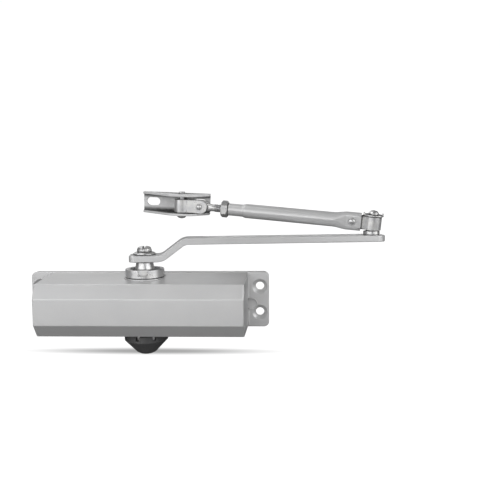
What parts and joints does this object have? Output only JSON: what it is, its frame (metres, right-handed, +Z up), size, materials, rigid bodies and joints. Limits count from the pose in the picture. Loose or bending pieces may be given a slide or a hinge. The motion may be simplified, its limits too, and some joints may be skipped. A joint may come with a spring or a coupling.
{
  "type": "door closer",
  "caption": "Surface-mounted overhead door closer: faceted cast body with flanges, cranked main arm, adjustable forearm with a lock nut and a U-shaped shoe bracket.",
  "frame": {"origin": "on the flat back face of the body, level with the spindle along its length and midway between the mounting holes in height", "axes": "+X to the right along the body, +Y into the door (the back face looks that way), +Z up along the spindle"},
  "size_m": [0.2582, 0.0783, 0.1145],
  "materials": {
    "cast_silver": "satin silver paint on die-cast aluminium",
    "painted_steel": "satin silver paint",
    "plated_steel": "bright zinc plate",
    "bracket_steel": "plain rolled steel",
    "dark_plastic": "moulded dark grey",
    "rubber": "matt black",
    "inner_steel": "ground, oiled",
    "bronze": "sintered, oiled"
  },
  "bodies": {
    "body": {"housing": "cast_silver", "end_plug": "inner_steel", "end_plug_seal": "rubber", "top_ring_nut": "plated_steel", "bottom_ring_nut": "plated_steel", "top_bearing": "bronze", "bottom_bearing": "bronze", "top_seal": "rubber", "bottom_seal": "rubber", "bottom_cap": "dark_plastic", "closing_spring": "inner_steel"},
    "closing_valve": {"closing_valve": "plated_steel"},
    "latching_valve": {"latching_valve": "plated_steel"},
    "piston": {"piston": "inner_steel", "piston_seal": "rubber", "check_ball": "inner_steel", "check_plug": "inner_steel"},
    "main_arm": {"spindle": "inner_steel", "main_arm": "painted_steel", "arm_washer": "plated_steel", "arm_screw": "plated_steel", "elbow_spacer": "plated_steel", "elbow_pin": "plated_steel", "elbow_washer": "plated_steel"},
    "forearm": {"elbow_knuckle": "plated_steel", "forearm_tube": "painted_steel", "elbow_rivet": "plated_steel"},
    "rod": {"forearm_rod": "plated_steel", "lock_nut": "plated_steel"},
    "shoe_knuckle": {"shoe_knuckle": "plated_steel", "shoe_rivet": "plated_steel"},
    "shoe": {"shoe_bracket": "bracket_steel", "shoe_pin": "plated_steel"}
  },
  "joints": [
    {"name": "spindle_turn", "type": "hinge", "parent": "body", "child": "main_arm", "pos_m": [0, -0.02, 0], "axis": [0, 0, -1], "range_deg": [0, 175], "stiffness_Nm_per_rad": 2, "springref_deg": -68.75},
    {"name": "piston_slide", "type": "slide", "parent": "body", "child": "piston", "axis": [-1, 0, 0], "range_m": [0, 0.0208], "deforming": ["closing_spring"]},
    {"name": "elbow_pivot", "type": "hinge", "parent": "main_arm", "child": "forearm", "pos_m": [0.16239, 0.00116, 0.05488], "axis": [-0.079, 0.0991, -0.9919], "range_deg": [-30, 160]},
    {"name": "rod_adjust", "type": "slide", "parent": "forearm", "child": "rod", "axis": [-0.986, 0.1386, 0.0924], "range_m": [0, 0.02]},
    {"name": "shoe_tilt", "type": "hinge", "parent": "rod", "child": "shoe_knuckle", "pos_m": [0.03469, 0.01911, 0.06684], "axis": [0.1466, 0.9854, 0.0868], "range_deg": [-12, 12]},
    {"name": "shoe_pivot", "type": "hinge", "parent": "shoe_knuckle", "child": "shoe", "pos_m": [0.02046, 0.02115, 0.06767], "axis": [0.0445, -0.0942, 0.9946], "range_deg": [-8, 142]},
    {"name": "closing_valve_turn", "type": "hinge", "parent": "body", "child": "closing_valve", "pos_m": [0.0703, -0.0375, 0.0113], "axis": [1, 0, 0], "range_deg": [-180, 180]},
    {"name": "latching_valve_turn", "type": "hinge", "parent": "body", "child": "latching_valve", "pos_m": [0.0703, -0.038, -0.012], "axis": [1, 0, 0], "range_deg": [-180, 180]}
  ],
  "couplings": [
    {"joint": "piston_slide", "follows": "spindle_turn", "m_per_rad": 0.00675}
  ]
}
